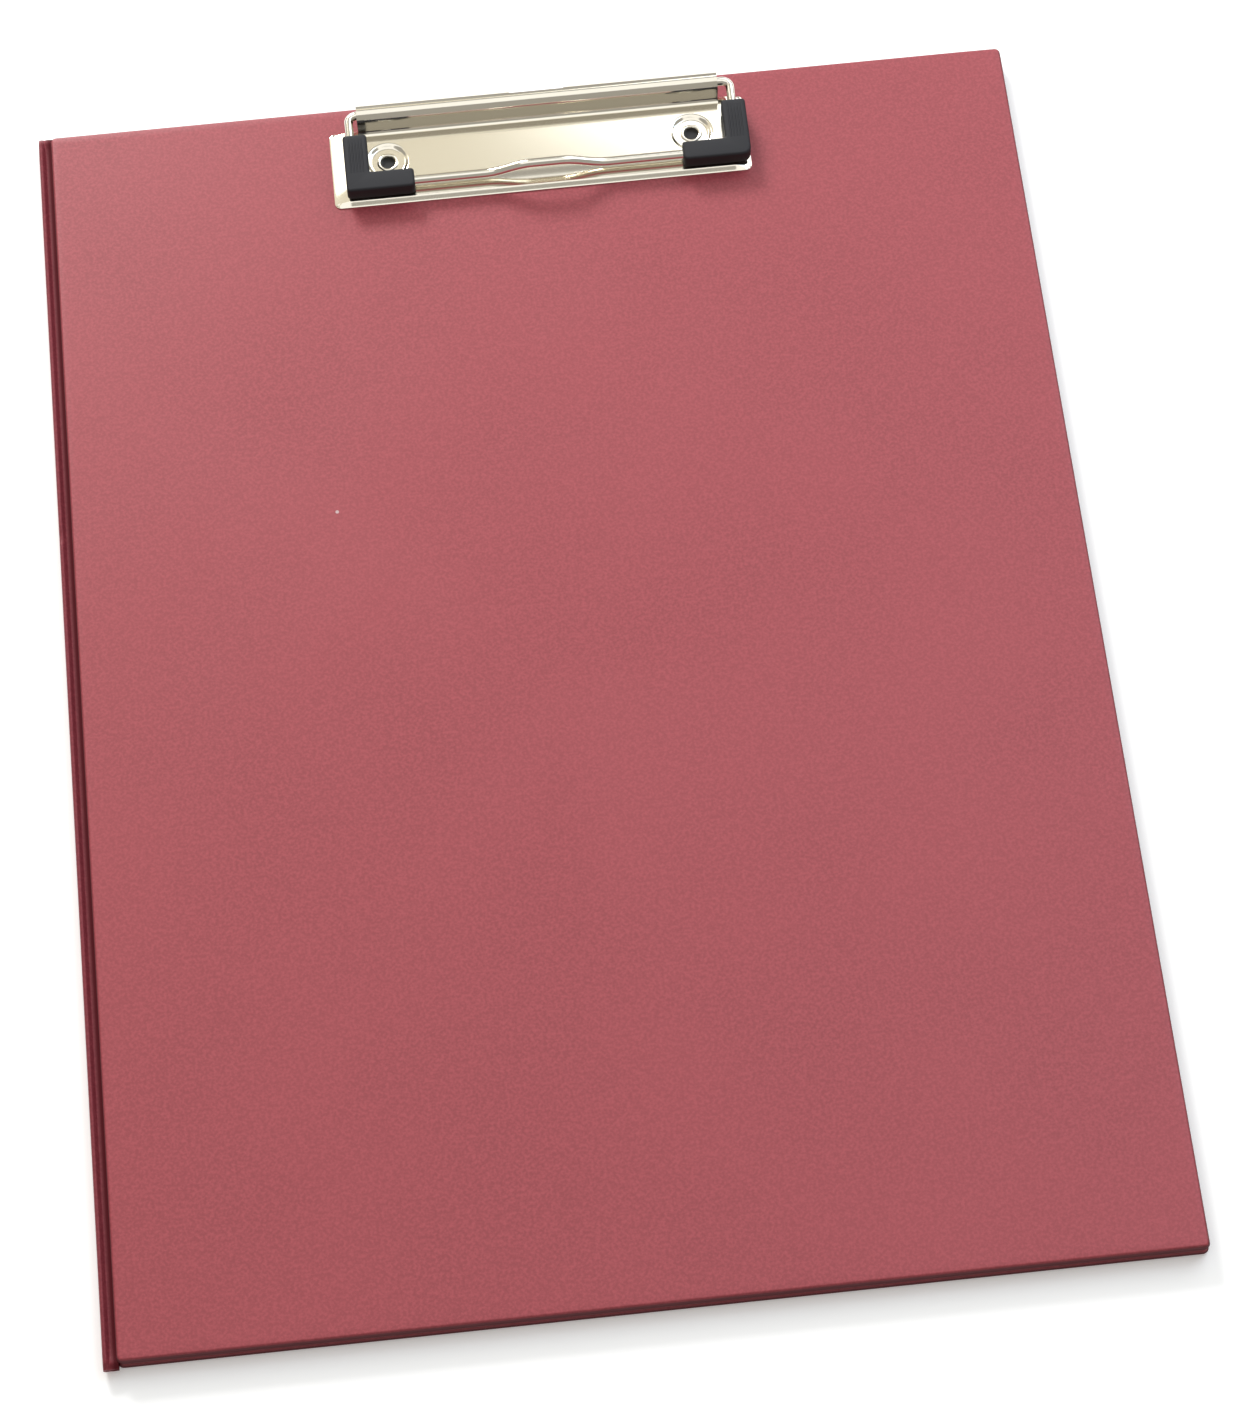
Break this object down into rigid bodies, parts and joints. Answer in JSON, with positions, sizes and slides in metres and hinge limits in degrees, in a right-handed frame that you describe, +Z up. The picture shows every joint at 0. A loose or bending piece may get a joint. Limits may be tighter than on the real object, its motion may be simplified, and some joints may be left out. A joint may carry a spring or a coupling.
{
  "type": "fold-over clipboard",
  "caption": "Vinyl-covered clipboard with a cover folded behind it on a soft spine and a sprung wire clip with plastic corner sleeves.",
  "frame": {"origin": "middle of the object's outline, on the surface it lies on, with the cover folded flat behind the clip panel", "axes": "+X across the board away from the spine, +Y along the board towards the clip, +Z up out of the writing face"},
  "size_m": [0.238, 0.315, 0.013],
  "materials": {
    "vinyl": "fine-grained burgundy vinyl sheet, satin",
    "greyboard": "matte grey stiffening board",
    "nickel_plate": "bright nickel plating on pressed steel",
    "nickel_rivet": "bright nickel plating on rolled rivets",
    "nickel_wire": "bright nickel plating on spring wire",
    "black_plastic": "black moulded plastic with fine ribs"
  },
  "bodies": {
    "board": {"board_core": "greyboard", "board_front_sheet": "vinyl", "board_back_sheet": "vinyl", "clip_base": "nickel_plate", "clip_rivets": "nickel_rivet", "wire_anchor_ends": "nickel_wire"},
    "bow": {"wire_bow": "nickel_wire", "left_sleeve": "black_plastic", "right_sleeve": "black_plastic"},
    "upper_spine": {"spine_upper": "vinyl"},
    "lower_spine": {"spine_lower": "vinyl"},
    "cover": {"cover_core": "greyboard", "cover_outer_sheet": "vinyl", "cover_inner_sheet": "vinyl"}
  },
  "joints": [
    {"name": "bow_lift", "type": "hinge", "parent": "board", "child": "bow", "pos_m": [0.00363, 0.1515, 0.0105], "axis": [-1, 0, 0], "range_deg": [0, 95], "stiffness_Nm_per_rad": 0.12, "springref_deg": -45.84},
    {"name": "board_fold", "type": "hinge", "parent": "board", "child": "upper_spine", "pos_m": [-0.11637, 0, 0.0038], "axis": [0, 1, 0], "range_deg": [0, 110]},
    {"name": "spine_fold", "type": "hinge", "parent": "upper_spine", "child": "lower_spine", "pos_m": [-0.11937, 0, 0.00237], "axis": [0, 1, 0], "range_deg": [0, 110]},
    {"name": "cover_fold", "type": "hinge", "parent": "lower_spine", "child": "cover", "pos_m": [-0.11637, 0, 0.00095], "axis": [0, 1, 0], "range_deg": [0, 110]}
  ]
}
